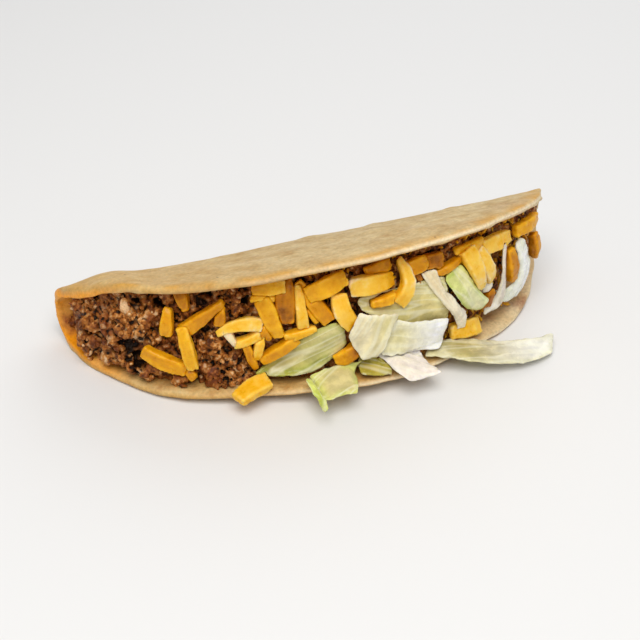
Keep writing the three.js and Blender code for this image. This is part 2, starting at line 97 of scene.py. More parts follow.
def add(material, kind, inputs=None, **settings):
    """Adds a shader node with its settings; each input gets a number or the output that feeds it."""
    node = material.node_tree.nodes.new("ShaderNode" + kind)
    for name, value in settings.items():
        setattr(node, name, value)
    feed(material, node, inputs or {})
    return node


def feed(material, node, inputs):
    """Sets each named input of a node to a number, or links it to the output that is given."""
    for name, value in inputs.items():
        if isinstance(value, bpy.types.NodeSocket):
            material.node_tree.links.new(value, node.inputs[name])
        else:
            node.inputs[name].default_value = value


bpy.ops.mesh.primitive_plane_add(size=TABLE_SIZE)
table = bpy.context.object
table.name = "table"
matt_paint, shader = material_of("matt_white_paint")
feed(matt_paint, shader, {"Base Color": linear(TABLE_COLOUR), "Roughness": 0.8})
table.data.materials.append(matt_paint)

world = bpy.data.worlds.new("room")
bpy.context.scene.world = world
world.use_nodes = True
world.node_tree.nodes["Background"].inputs["Color"].default_value = linear(ROOM_COLOUR)
world.node_tree.nodes["Background"].inputs["Strength"].default_value = ROOM_LIGHT

for name, light in LIGHTS.items():
    place = Vector(light["place"])
    bpy.ops.object.light_add(type="AREA", location=place)
    lamp = bpy.context.object
    lamp.name = name
    lamp.data.size = light["size"]
    lamp.data.energy = light["watts"]
    lamp.data.color = linear(light["colour"])[:3]
    lamp.rotation_euler = (-place).to_track_quat("-Z", "Y").to_euler()


# ---- The tortilla ----
# A corn tortilla, fried in a fold until it keeps its shape: one crisp sheet with a rim of its own
# thickness, gently uneven, blistered by the oil, golden inside and near the rim.

MERGE_WITHIN = 0.01 * MM
FLAT_ENOUGH = math.radians(42)
QUAD_LIMIT = math.radians(40)
STEPS_ON_EDGE = (0, 0.25, 0.5, 0.75)
OUTER_FROM, INNER_BELOW = 0.99, 0.01
SHELL_LEVELS = 2
SHELL_WAVES = [
    {"size": 24 * MM, "height": 0.5 * MM},
    {"size": 9 * MM, "height": 0.26 * MM},
    {"size": 3.5 * MM, "height": 0.07 * MM},
]
RIM_CRUMBLE = {"size": 3.4 * MM, "height": 0.2 * MM, "depth": 1.4 * MM}
BLISTERS = {"outside": 45, "inside": 110}
BLISTER_RADIUS = (1.6 * MM, 5.0 * MM)
BLISTER_HEIGHT = 0.1
# Where the fried colours lie along the fold and how strong they are. Broken patches thin them out.
PATCHES = {"size": 7 * MM, "bare": -0.45, "full": 0.3}
RIM_BAND = {"gold": 0.8, "width": 4.2 * MM}
GOLDEN_LEFT = {"gold": 0.35, "start": -5 * MM, "full": -60 * MM}
ORANGE_LEFT = {"start": -56 * MM, "full": -66 * MM}
PALE_RIM = {"start": -30 * MM, "full": 25 * MM, "wander": 9 * MM}
PALE_RIGHT = {"cream": 0.55, "start": 30 * MM, "full": 55 * MM}
DRY_LIP = {"width": 6 * MM, "dryness": 0.7, "patches": (-0.3, 0.6)}
TOAST_EDGE = {"size": 2.4 * MM, "raggedness": 0.5, "fade": (1.2, 0.2)}
# Toasted spots: their places and radii in mm, and how dark they are.
TOAST = [
    {"place": (-69, 18, 6), "radius": 3, "dark": 1.0},
    {"place": (-66, 10, 4), "radius": 5, "dark": 0.25},
    {"place": (-50, -12, 4), "radius": 3, "dark": 0.25},
    {"place": (-38, -22, 5), "radius": 4, "dark": 0.2},
    {"place": (60, -4, 3), "radius": 4, "dark": 0.75},
    {"place": (55, -1, 3), "radius": 4, "dark": 0.3},
    {"place": (47, -7, 3), "radius": 3, "dark": 0.35},
    {"place": (67, 7, 6), "radius": 2, "dark": 0.4},
    {"place": (67, 12, 8), "radius": 2, "dark": 0.35},
    {"place": (52, 2, 36), "radius": 7, "dark": 0.22},
    {"place": (22, -8, 36), "radius": 6, "dark": 0.12},
]


def select_only(piece):
    """Makes a piece the only thing that the next operator acts on."""
    bpy.ops.object.select_all(action="DESELECT")
    piece.select_set(True)
    bpy.context.view_layer.objects.active = piece


def copy_of(node, name):
    """A new piece from a copy of a CAD node, with its loose triangles merged."""
    piece = bpy.data.objects.new(name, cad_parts[node].data.copy())
    bpy.context.collection.objects.link(piece)
    piece.data.materials.clear()
    select_only(piece)
    bpy.ops.mesh.customdata_custom_splitnormals_clear()
    bpy.ops.object.mode_set(mode="EDIT")
    bpy.ops.mesh.select_all(action="SELECT")
    bpy.ops.mesh.remove_doubles(threshold=MERGE_WITHIN)
    bpy.ops.object.mode_set(mode="OBJECT")
    return piece


def shape_with(piece, kind, **settings):
    """Adds one modifier to a piece and applies it."""
    modifier = piece.modifiers.new(kind.lower(), kind)
    for name, value in settings.items():
        setattr(modifier, name, value)
    select_only(piece)
    bpy.ops.object.modifier_apply(modifier=modifier.name)


def points_of(piece):
    """The places of a piece's vertices, one row each."""
    flat = numpy.empty(len(piece.data.vertices) * 3)
    piece.data.vertices.foreach_get("co", flat)
    return flat.reshape(-1, 3)


def normals_of(piece):
    """The directions that a piece's vertices face, one row each."""
    flat = numpy.empty(len(piece.data.vertices) * 3)
    piece.data.vertices.foreach_get("normal", flat)
    return flat.reshape(-1, 3)


def move_points(piece, points):
    """Puts a piece's vertices at new places."""
    piece.data.vertices.foreach_set("co", points.ravel())
    piece.data.update()


def paint(piece, name, values):
    """Stores one number for each vertex, for the material to read."""
    piece.data.attributes.new(name, "FLOAT", "POINT").data.foreach_set("value", values)


def ripple(points, size, shift=0.0):
    """Smooth noise from -1 to 1 at each point, whose bumps are about the given size apart."""
    return numpy.array([noise.noise(place) for place in (points / size + shift).tolist()])


def between(values, start, end):
    """Where each value lies on the way from start to end, kept from 0 to 1."""
    return numpy.clip((values - start) / (end - start), 0, 1)


def tree_of(points):
    """A search tree over places."""
    tree = kdtree.KDTree(len(points))
    for index, point in enumerate(points):
        tree.insert(point, index)
    tree.balance()
    return tree


def sharp_line_of(piece):
    """Places close together along the sharp edges of a piece, which are its rim."""
    select_only(piece)
    bpy.ops.object.mode_set(mode="EDIT")
    bpy.ops.mesh.select_mode(type="EDGE")
    bpy.ops.mesh.select_all(action="DESELECT")
    bpy.ops.mesh.edges_select_sharp(sharpness=FLAT_ENOUGH)
    bpy.ops.object.mode_set(mode="OBJECT")
    line = []
    for edge in piece.data.edges:
        if edge.select:
            start, end = (piece.data.vertices[index].co for index in edge.vertices)
            line += [start.lerp(end, share) for share in STEPS_ON_EDGE]
    return line


tortilla = copy_of("tortilla_shell", "fried_tortilla")
bpy.ops.object.mode_set(mode="EDIT")
bpy.ops.mesh.select_all(action="SELECT")
bpy.ops.mesh.tris_convert_to_quads(face_threshold=QUAD_LIMIT, shape_threshold=QUAD_LIMIT)
bpy.ops.mesh.select_all(action="DESELECT")
bpy.ops.object.mode_set(mode="OBJECT")

top_face = max(tortilla.data.polygons, key=lambda face: face.center.z * face.normal.z)
top_face.select = True
bpy.ops.object.mode_set(mode="EDIT")
bpy.ops.mesh.select_mode(type="FACE")
bpy.ops.mesh.faces_select_linked_flat(sharpness=FLAT_ENOUGH)
bpy.ops.object.mode_set(mode="OBJECT")
outer_corners = {vertex for face in tortilla.data.polygons if face.select for vertex in face.vertices}
all_corners = {vertex for face in tortilla.data.polygons for vertex in face.vertices}
outside_group = tortilla.vertex_groups.new(name="outside")
outside_group.add(list(outer_corners), 1.0, "REPLACE")
outside_group.add(list(all_corners - outer_corners), 0.0, "REPLACE")
rim_tree = tree_of(sharp_line_of(tortilla))

shape_with(tortilla, "SUBSURF", levels=SHELL_LEVELS, render_levels=SHELL_LEVELS)
outside = numpy.array([sum(group.weight for group in vertex.groups) for vertex in tortilla.data.vertices])
tortilla.vertex_groups.clear()
points = points_of(tortilla)
normals = normals_of(tortilla)
outer = numpy.flatnonzero(outside > OUTER_FROM)
outer_tree = tree_of(points[outer])
nearest_outer = outer[[outer_tree.find(point)[1] for point in points]]
from_rim = numpy.array([rim_tree.find(point)[2] for point in points])

lift = sum(ripple(points[nearest_outer], wave["size"]) * wave["height"] for wave in SHELL_WAVES)
shaped = points + normals[nearest_outer] * lift[:, None]
crumble = ripple(points, RIM_CRUMBLE["size"]) * RIM_CRUMBLE["height"]
crumble *= numpy.exp(-((from_rim / RIM_CRUMBLE["depth"]) ** 2))
chance = random.Random(7)
blistered = numpy.zeros(len(points))
for side, count in BLISTERS.items():
    face = outer if side == "outside" else numpy.flatnonzero(outside < INNER_BELOW)
    for _ in range(count):
        centre = points[face[chance.randrange(len(face))]]
        radius = chance.uniform(*BLISTER_RADIUS)
        share = numpy.linalg.norm(points[face] - centre, axis=1) / radius
        dome = numpy.clip(1 - share**2, 0, 1) ** 2
        blistered[face] = numpy.maximum(blistered[face], dome * radius * BLISTER_HEIGHT)
shaped += normals * (crumble + blistered)[:, None]
shaped[:, 2] = numpy.maximum(shaped[:, 2], 0)
move_points(tortilla, shaped)
tortilla.data.shade_smooth()

toasted = numpy.zeros(len(points))
ragged = 1 + TOAST_EDGE["raggedness"] * ripple(points, TOAST_EDGE["size"], shift=5.0)
for spot in TOAST:
    away = numpy.linalg.norm(points / MM - numpy.array(spot["place"]), axis=1) * ragged
    toasted = numpy.maximum(toasted, spot["dark"] * between(away / spot["radius"], *TOAST_EDGE["fade"]))
along = points[:, 0]
patchy = between(ripple(points, PATCHES["size"], shift=2.0), PATCHES["bare"], PATCHES["full"])
rim_band = RIM_BAND["gold"] * outside * numpy.exp(-((from_rim / RIM_BAND["width"]) ** 2)) * patchy
golden_left = GOLDEN_LEFT["gold"] * outside * between(along, GOLDEN_LEFT["start"], GOLDEN_LEFT["full"])
orange_left = (1 - outside) * between(along, ORANGE_LEFT["start"], ORANGE_LEFT["full"])
on_rim = 1 - numpy.abs(2 * outside - 1)
pale_rim = on_rim * between(along + PALE_RIM["wander"] * patchy, PALE_RIM["start"], PALE_RIM["full"])
pale_right = PALE_RIGHT["cream"] * (1 - outside) * between(along, PALE_RIGHT["start"], PALE_RIGHT["full"])
pale_right *= 0.5 + 0.5 * patchy
dry_lip = DRY_LIP["dryness"] * numpy.exp(-((from_rim / DRY_LIP["width"]) ** 2))
dry_lip *= between(patchy, *DRY_LIP["patches"])
paint(tortilla, "outside", numpy.maximum(outside, dry_lip))
paint(tortilla, "gold", numpy.maximum(rim_band, golden_left))
paint(tortilla, "orange", orange_left)
paint(tortilla, "cream", numpy.maximum(pale_rim, pale_right))
paint(tortilla, "toast", toasted)
paint(tortilla, "blister", blistered / MM)

# Fried corn dough: masa flour fried in oil, so it is matt and mealy with a faint film of oil.
# The eye sees a mottled tan, a golden rim with a pale broken edge, and a few dark specks.
CORN_PALE = 0xD6BE8A
CORN_TAN = 0xB6915A
CORN_GOLD = 0xCF9634
CORN_ORANGE = 0xF8A00C
CORN_INSIDE_PALE = 0xE2B25C
CORN_INSIDE = 0xC88A34
RIM_CREAM = 0xF3E2BC
TOAST_BROWN = 0x8E3E10
SPECK_BROWN = 0x54341C
MOTTLE = 3.0 * MM
MOTTLE_STRETCH = 0.9  # below 1, the mottle is longer along the fold
BLOTCH = 8 * MM
MEAL = 0.9 * MM
SPECK_SPACING = 2.6 * MM

corn, shader = material_of("fried_corn_tortilla")
place = add(corn, "TexCoord").outputs["Object"]
lengthwise = add(corn, "Mapping", {"Vector": place, "Scale": (MOTTLE_STRETCH, 1, 1)}).outputs["Vector"]
mottle = add(corn, "TexNoise", {"Vector": lengthwise, "Scale": 1 / MOTTLE, "Detail": 4.0, "Roughness": 0.6})
blotches = add(corn, "TexNoise", {"Vector": place, "Scale": 1 / BLOTCH, "Detail": 5.0, "Roughness": 0.65})
meal = add(corn, "TexNoise", {"Vector": place, "Scale": 1 / MEAL, "Detail": 3.0, "Roughness": 0.6})
outer_face, gold, orange, cream, toast, blister = [
    add(corn, "Attribute", attribute_name=name).outputs["Fac"]
    for name in ("outside", "gold", "orange", "cream", "toast", "blister")]

# The sockets of a Mix node that mixes colours.
FACTOR, FIRST, SECOND, MIXED = 0, 6, 7, 2
cloudy = add(corn, "Math", {0: mottle.outputs["Fac"], 1: blotches.outputs["Fac"]}, operation="ADD")
mottled = add(corn, "MapRange", {"Value": cloudy.outputs[0], "From Min": 0.76, "From Max": 1.3})
outer_tan = add(corn, "Mix", {FACTOR: mottled.outputs["Result"], FIRST: linear(CORN_PALE),
                              SECOND: linear(CORN_TAN)}, data_type="RGBA")
inner_tan = add(corn, "Mix", {FACTOR: mottled.outputs["Result"], FIRST: linear(CORN_INSIDE_PALE),
                              SECOND: linear(CORN_INSIDE)}, data_type="RGBA")
both = add(corn, "Mix", {FACTOR: outer_face, FIRST: inner_tan.outputs[MIXED],
                         SECOND: outer_tan.outputs[MIXED]}, data_type="RGBA")
gilded = add(corn, "Mix", {FACTOR: gold, FIRST: both.outputs[MIXED], SECOND: linear(CORN_GOLD)},
             data_type="RGBA")
golden = add(corn, "Mix", {FACTOR: orange, FIRST: gilded.outputs[MIXED], SECOND: linear(CORN_ORANGE)},
             data_type="RGBA")
pale_blister = add(corn, "MapRange", {"Value": blister, "From Min": 0.05, "From Max": 0.4, "To Max": 0.25})
bubbled = add(corn, "Mix", {FACTOR: pale_blister.outputs["Result"], FIRST: golden.outputs[MIXED],
                            SECOND: linear(CORN_PALE)}, data_type="RGBA")
edged = add(corn, "Mix", {FACTOR: cream, FIRST: bubbled.outputs[MIXED], SECOND: linear(RIM_CREAM)},
            data_type="RGBA")
mealy = add(corn, "MapRange", {"Value": meal.outputs["Fac"], "From Min": 0.35, "From Max": 0.7,
                               "To Min": 1.1, "To Max": 0.84})
grained = add(corn, "VectorMath", {0: edged.outputs[MIXED], 1: mealy.outputs["Result"]},
              operation="MULTIPLY")
toast_edge = add(corn, "MapRange", {"Value": meal.outputs["Fac"], "From Min": 0.3, "From Max": 0.7,
                                    "To Min": 0.8, "To Max": 1.2})
toast_amount = add(corn, "Math", {0: toast, 1: toast_edge.outputs["Result"]}, operation="MULTIPLY",
                   use_clamp=True)
browned = add(corn, "Mix", {FACTOR: toast_amount.outputs[0], FIRST: grained.outputs["Vector"],
                            SECOND: linear(TOAST_BROWN)}, data_type="RGBA")
speck_cells = add(corn, "TexVoronoi", {"Vector": place, "Scale": 1 / SPECK_SPACING, "Randomness": 1.0})
speck_cell = add(corn, "SeparateColor", {"Color": speck_cells.outputs["Color"]})
speck_size = add(corn, "MapRange", {"Value": speck_cell.outputs["Red"], "From Min": 0.8, "From Max": 1.0,
                                    "To Min": 0.0, "To Max": 0.17})
speck_depth = add(corn, "Math", {0: speck_size.outputs["Result"], 1: speck_cells.outputs["Distance"]},
                  operation="SUBTRACT")
speck_shape = add(corn, "MapRange", {"Value": speck_depth.outputs[0], "From Min": 0.0, "From Max": 0.03,
                                     "To Max": 0.7})
specked = add(corn, "Mix", {FACTOR: speck_shape.outputs["Result"], FIRST: browned.outputs[MIXED],
                            SECOND: linear(SPECK_BROWN)}, data_type="RGBA")
fine_relief = add(corn, "Bump", {"Height": meal.outputs["Fac"], "Distance": 0.1 * MM, "Strength": 0.6})
broad_relief = add(corn, "Bump", {"Height": blotches.outputs["Fac"], "Distance": 0.8 * MM, "Strength": 0.5,
                                  "Normal": fine_relief.outputs["Normal"]})
oily = add(corn, "MapRange", {"Value": blotches.outputs["Fac"], "From Min": 0.3, "From Max": 0.7,
                              "To Min": 0.45, "To Max": 0.65})
feed(corn, shader, {"Base Color": specked.outputs[MIXED], "Roughness": oily.outputs["Result"],
                    "Normal": broad_relief.outputs["Normal"], "Specular IOR Level": 0.3,
                    "Subsurface Weight": 0.12, "Subsurface Radius": (1.0, 0.6, 0.3),
                    "Subsurface Scale": 1.0 * MM, "IOR": 1.45})
tortilla.data.materials.append(corn)
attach(tortilla, "root")
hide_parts("tortilla_shell")


# ---- The beef ----
# Ground beef, crumbled and browned in a pan: a packed heap of clumps a few millimetres wide, each of
# several small crumbs stuck together by fat, with dark hollows between them and loose crumbs on top.

SHREDS = [f"cheddar_{number}" for number in range(1, 44)]
LEAVES = [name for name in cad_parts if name.startswith("lettuce_")]
MOUTH_DIRECTION = Vector((0.0, -0.86, 0.51))
LOOKS_IN = [MOUTH_DIRECTION, Vector((0, -1, 0.1)), Vector((0, -0.5, 0.9)), Vector((0.7, -0.8, 0.5)),
            Vector((-0.7, -0.8, 0.5))]
RAY_START = 80 * MM
HEAP_SPAN = 60 * MM
CLUMP_SPACING = 1.9 * MM
CLUMP_RADIUS = (1.0 * MM, 2.1 * MM)
CLUMP_DEPTH = (0.35, 0.8)  # of its radius, how far the middle of a clump lies in the heap
CLUMP_ROUGHNESS = 0.7
BUMPS_ON_CLUMP = 9
BUMP_RADIUS = (0.35 * MM, 0.8 * MM)
BUMP_OUT = 0.92  # of the clump's radius, how far out a bump sits
LUMP_KINDS = 8
LUMP_FACES = 0.6  # of a sphere's 80 faces, the share that a lump keeps
LUMP_DENTS = 0.9  # in radii, how far apart the dents of a lump are
LUMP_STRETCH = (0.6, 1.35)
LUMP_REACH = 1.5  # radii that a stretched lump may reach from its middle
SMALLEST = 0.35 * MM
TOPPING_GAP = 0.15 * MM
SINK = 1.6 * MM  # how far a lump may reach into the tortilla's wall
LEFT_SIDE = 7 * MM
LEFT_BARE = 1.4 * MM
CORE_VOXEL = 1.0 * MM
CORE_SHRINK = 0.6 * MM
HEAP_VOXEL = 0.35 * MM
TURNED_AWAY = -0.5
HIDDEN_SHARE = 0.05  # of the faces that nobody sees, the share that is kept
# Gaps between the clumps where the heap is open, pushed in and painted near-black as shade: along the fold,
# height on the heap and radius, in mm.
HOLLOWS = [
    (-57, 13, 3.0), (-56, 10, 3.0), (-55, 7, 2.4), (-58, 17, 1.6), (-54, 17, 1.8), (-47, 17, 1.6),
    (-37, 20, 2.2), (-38, 28, 2.0), (-36, 30, 1.6), (-48, 26, 2.0), (-53, 26, 1.6), (-62, 18, 1.2),
    (-63, 23, 1.0), (-27, 32, 1.6), (-27, 28, 1.4), (-38, 8, 1.6), (-33, 6, 1.3), (-44, 22, 1.3),
    (-30, 11, 1.2),
]
HOLLOW_DEPTH = 2.6 * MM
HOLLOW_REACH = 1.25
HOLLOW_EDGE = {"size": 1.1 * MM, "raggedness": 0.35}
RAGGED = {"size": 0.9 * MM, "height": 0.3 * MM}


def joined_points(names):
    """The corners and triangles of several CAD nodes together."""
    corners, triangles = [], []
    for name in names:
        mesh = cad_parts[name].data
        first = len(corners)
        corners += [vertex.co.copy() for vertex in mesh.vertices]
        triangles += [[first + index for index in face.vertices] for face in mesh.polygons]
    return corners, triangles


def lump_shape(seed, roughness):
    """The corners and faces of one rough lump, about one unit in radius."""
    bpy.ops.mesh.primitive_ico_sphere_add(subdivisions=2, radius=1.0)
    lump = bpy.context.object
    shape_with(lump, "DECIMATE", ratio=LUMP_FACES)
    corners = points_of(lump)
    corners *= 1 + roughness * ripple(corners, LUMP_DENTS, shift=seed * 3.7)[:, None]
    faces = numpy.array([list(face.vertices) for face in lump.data.polygons])
    bpy.data.objects.remove(lump)
    return corners, faces


def scattered(name, shapes, lumps, chance):
    """One mesh of many lumps, each a turned, stretched copy of one of the shapes."""
    corners, faces, first = [], [], 0
    for centre, radius in lumps:
        shape, triangles = shapes[chance.randrange(len(shapes))]
        turn = Euler([chance.uniform(0, math.tau) for _ in range(3)]).to_matrix()
        stretch = [chance.uniform(*LUMP_STRETCH) for _ in range(3)]
        corners.append(shape * stretch @ numpy.array(turn).T * radius + numpy.array(centre))
        faces.append(triangles + first)
        first += len(shape)
    mesh = bpy.data.meshes.new(name)
    mesh.from_pydata(numpy.concatenate(corners), [], numpy.concatenate(faces).tolist())
    piece = bpy.data.objects.new(name, mesh)
    bpy.context.collection.objects.link(piece)
    return piece


toppings = BVHTree.FromPolygons(*joined_points(SHREDS + LEAVES))
shell_walls = BVHTree.FromPolygons(*joined_points(["tortilla_shell"]))
heap_front = BVHTree.FromPolygons(*joined_points(["ground_beef"]))
low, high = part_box("ground_beef")
chance = random.Random(11)


def room_at(centre):
    """How far a lump may reach from here: clear of the toppings, and into the tortilla's wall a little."""
    return min(toppings.find_nearest(centre)[3] - TOPPING_GAP, shell_walls.find_nearest(centre)[3] + SINK)


def heap_place(along, height):
    """The place on the front of the heap at a distance along the fold and a height, both in mm."""
    start = Vector((along * MM, -RAY_START, height * MM))
    return heap_front.ray_cast(start, Vector((0, 1, 0)))[0]


hollows = [(heap_place(along, height), radius * MM) for along, height, radius in HOLLOWS]
hollow_tree = tree_of([centre for centre, radius in hollows])


def hollowness(point):
    """How deep in an open gap a place is, from 0 outside to 1 in the middle."""
    _, index, away = hollow_tree.find(point)
    return min(max(HOLLOW_REACH - away / hollows[index][1], 0), 1)


across = Vector((0, MOUTH_DIRECTION.z, -MOUTH_DIRECTION.y)).normalized()
heap_middle = (low + high) / 2
landings = []
columns = int((high.x - low.x) / CLUMP_SPACING) + 2
rows = int(HEAP_SPAN / CLUMP_SPACING)
for column in range(columns):
    for row in range(-rows // 2, rows // 2):
        along = low.x + (column + chance.uniform(-0.5, 0.5)) * CLUMP_SPACING
        start = Vector((along, heap_middle.y, heap_middle.z)) + MOUTH_DIRECTION * RAY_START
        start += across * (row + chance.uniform(-0.5, 0.5)) * CLUMP_SPACING
        place, normal, _, _ = heap_front.ray_cast(start, -MOUTH_DIRECTION)
        if place is not None:
            landings.append((place, normal))
for column in range(int((high.y - low.y) / CLUMP_SPACING)):
    for row in range(int((high.z - low.z) / CLUMP_SPACING)):
        start = Vector((low.x - RAY_START, low.y, low.z))
        start.y += (column + chance.uniform(0, 1)) * CLUMP_SPACING
        start.z += (row + chance.uniform(0, 1)) * CLUMP_SPACING
        place, normal, _, _ = heap_front.ray_cast(start, Vector((1, 0, 0)))
        if place is not None and place.x < low.x + LEFT_SIDE:
            landings.append((place + Vector((LEFT_BARE, 0, 0)), normal))

clumps = []
for place, normal in landings:
    radius = chance.uniform(*CLUMP_RADIUS)
    centre = place - normal * radius * chance.uniform(*CLUMP_DEPTH)
    radius = min(radius, room_at(centre) / LUMP_REACH)
    if radius > SMALLEST:
        clumps.append((centre, radius))
bumps = []
for centre, radius in clumps:
    for _ in range(BUMPS_ON_CLUMP):
        direction = Vector([chance.gauss(0, 1) for _ in range(3)]) + MOUTH_DIRECTION
        spot = centre + direction.normalized() * radius * BUMP_OUT
        size = min(chance.uniform(*BUMP_RADIUS), room_at(spot) / LUMP_REACH)
        if size > SMALLEST:
            bumps.append((spot, size))

heap = copy_of("ground_beef", "browned_beef")
shape_with(heap, "REMESH", mode="VOXEL", voxel_size=CORE_VOXEL)
shape_with(heap, "SMOOTH", factor=0.5, iterations=6)
move_points(heap, points_of(heap) - normals_of(heap) * CORE_SHRINK)
lump_shapes = [lump_shape(seed, CLUMP_ROUGHNESS) for seed in range(LUMP_KINDS)]
lumps = scattered("clumps", lump_shapes, clumps + bumps, chance)
select_only(heap)
lumps.select_set(True)
bpy.ops.object.join()
shape_with(heap, "REMESH", mode="VOXEL", voxel_size=HEAP_VOXEL)


def shut_off(point, look):
    """Whether the tortilla or a topping stands in front of a place, looking one way."""
    start = point + look * MM / 2
    return any(wall.ray_cast(start, look)[0] is not None for wall in (shell_walls, toppings))


covered = [vertex.normal.dot(MOUTH_DIRECTION) < TURNED_AWAY or
           all(shut_off(vertex.co, look) for look in LOOKS_IN) for vertex in heap.data.vertices]
for face in heap.data.polygons:
    face.select = all(covered[index] for index in face.vertices)
select_only(heap)
bpy.ops.object.mode_set(mode="EDIT")
bpy.ops.mesh.select_mode(type="FACE")
bpy.ops.mesh.decimate(ratio=HIDDEN_SHARE)
bpy.ops.object.mode_set(mode="OBJECT")
points = points_of(heap)
gaps = numpy.array([hollowness(point) for point in points])
gaps += HOLLOW_EDGE["raggedness"] * ripple(points, HOLLOW_EDGE["size"], shift=9.0) * (gaps > 0)
gaps = numpy.clip(gaps, 0, 1)
ragged = ripple(points, RAGGED["size"], shift=4.0) * RAGGED["height"]
points = points + normals_of(heap) * ragged[:, None]
move_points(heap, points - numpy.array(MOUTH_DIRECTION) * (gaps * HOLLOW_DEPTH)[:, None])
heap.data.shade_smooth()


def relief_of(piece, rounds):
    """How far each vertex stands above the surface that smoothing would leave, in mm."""
    ends = numpy.empty(len(piece.data.edges) * 2, int)
    piece.data.edges.foreach_get("vertices", ends)
    start, end = ends.reshape(-1, 2).T
    points = points_of(piece)
    smooth = points.copy()
    count = numpy.bincount(ends, minlength=len(points))
    for _ in range(rounds):
        total = numpy.stack([numpy.bincount(start, smooth[end, axis], len(points)) +
                             numpy.bincount(end, smooth[start, axis], len(points)) for axis in range(3)], 1)
        smooth = 0.5 * smooth + 0.5 * total / count[:, None]
    return numpy.einsum("ij,ij->i", points - smooth, normals_of(piece)) / MM


def tones_at(piece, lumps, chance):
    """A tone from 0 to 1 for each vertex, the same all over the lump that it lies on."""
    lump_tree = tree_of([centre for centre, radius in lumps])
    lump_tones = numpy.array([chance.random() for lump in lumps])
    return lump_tones[[lump_tree.find(vertex.co)[1] for vertex in piece.data.vertices]]


CLUMP_SHARE = 0.4  # of a bump's tone, how much comes from the clump that it sits on
CREVICE = -0.3  # in mm below the smoothed heap, where it is darkest
tones = CLUMP_SHARE * tones_at(heap, clumps, chance) + (1 - CLUMP_SHARE) * tones_at(heap, bumps, chance)
paint(heap, "tone", tones)
# The depth attribute is painted shade: the open gaps and the crevices below the smoothed heap turn toward
# near-black.
paint(heap, "depth", gaps + between(relief_of(heap, rounds=20), 0.0, CREVICE))

# Loose crumbs lie on the heap, smaller than the clumps and turned every way, most of them where the beef
# lies bare at the left. One of them is a pale piece of fat, as large as a grain of rice.
CRUMB_RADIUS = (0.35 * MM, 0.9 * MM)
CRUMB_ROUGHNESS = 0.85
CRUMB_TRIES = 2600
BARE_END = -15 * MM
ELSEWHERE_SHARE = 0.4
DROP_REACH = 32 * MM
RIGHT_BARE = 3 * MM
MOSTLY_SMALL = 1.6
IN_GAP = 0.3
REST_HEIGHT = 0.35  # of its radius, how high the middle of a dropped bit lies
FAT_PLACE = (-57, 24)
FAT_SIZE = (0.9 * MM, 2.2 * MM, 1.3 * MM)
FAT_DENTS = {"size": 0.8, "height": 0.2}
FAT_LIFT = 1.2 * MM
FAT_TONE = 1.0
crumb_shapes = [lump_shape(20 + seed, CRUMB_ROUGHNESS) for seed in range(LUMP_KINDS)]
packed = BVHTree.FromPolygons(*[[vertex.co for vertex in heap.data.vertices],
                                [list(face.vertices) for face in heap.data.polygons]])


def landed(tries, sizes, reach, share_at):
    """Loose bits dropped on the heap, as middles and radii. Each reaches so many radii at most, and a share
    of them stays at each place along the fold."""
    bits = []
    for _ in range(tries):
        start = Vector((chance.uniform(low.x, high.x - RIGHT_BARE), heap_middle.y, heap_middle.z))
        start += MOUTH_DIRECTION * RAY_START + across * chance.uniform(-DROP_REACH, DROP_REACH)
        radius = sizes[0] + (sizes[1] - sizes[0]) * chance.random() ** MOSTLY_SMALL
        stays = chance.random() < share_at(start.x)
        spot, normal, _, _ = packed.ray_cast(start, -MOUTH_DIRECTION)
        if spot is None or not stays or hollowness(spot) > IN_GAP:
            continue
        centre = spot + normal * radius * REST_HEIGHT
        radius = min(radius, room_at(centre) / reach)
        if radius > SMALLEST:
            bits.append((centre, radius))
    return bits


crumbs = landed(CRUMB_TRIES, CRUMB_RADIUS, LUMP_REACH,
                lambda along: 1 if along < BARE_END else ELSEWHERE_SHARE)
loose = scattered("beef_crumbs", crumb_shapes, crumbs, chance)
crumb_tones = tones_at(loose, crumbs, chance)
paint(loose, "tone", CLUMP_SHARE * tones_at(loose, clumps, chance) + (1 - CLUMP_SHARE) * crumb_tones)
paint(loose, "depth", numpy.zeros(len(loose.data.vertices)))

bpy.ops.mesh.primitive_ico_sphere_add(subdivisions=3, radius=1.0)
fat = bpy.context.object
dents = FAT_DENTS["height"] * ripple(points_of(fat), FAT_DENTS["size"])
corners = points_of(fat) * (1 + dents[:, None])
standing = MOUTH_DIRECTION.to_track_quat("X", "Y").to_matrix()
centre = heap_place(*FAT_PLACE) + MOUTH_DIRECTION * FAT_LIFT
move_points(fat, corners * FAT_SIZE @ numpy.array(standing).T + numpy.array(centre))
paint(fat, "tone", numpy.full(len(corners), FAT_TONE))
paint(fat, "depth", numpy.zeros(len(corners)))
select_only(loose)
fat.select_set(True)
bpy.ops.object.join()
loose.data.shade_smooth()

# Browned ground beef: the proteins brown unevenly, so crumbs run from tan to dark red-brown, and melted
# fat leaves them moist. The eye sees pale bumps, near-black hollows and small broken highlights; the
# hollows and crevices also get painted shade on top of their real depth.
BEEF_TONES = {0.0: 0x4C240A, 0.3: 0x7C4414, 0.5: 0x9A5A20, 0.7: 0xBA7836, 0.85: 0xCC965A, 1.0: 0xDEB688}
BEEF_RED = 0x7A3A18
BEEF_HOLLOW_SHADE = 0x120804
MEAT_GRAIN = 0.55 * MM
TONE_PATCH = 1.3 * MM
RED_PATCH = 5 * MM

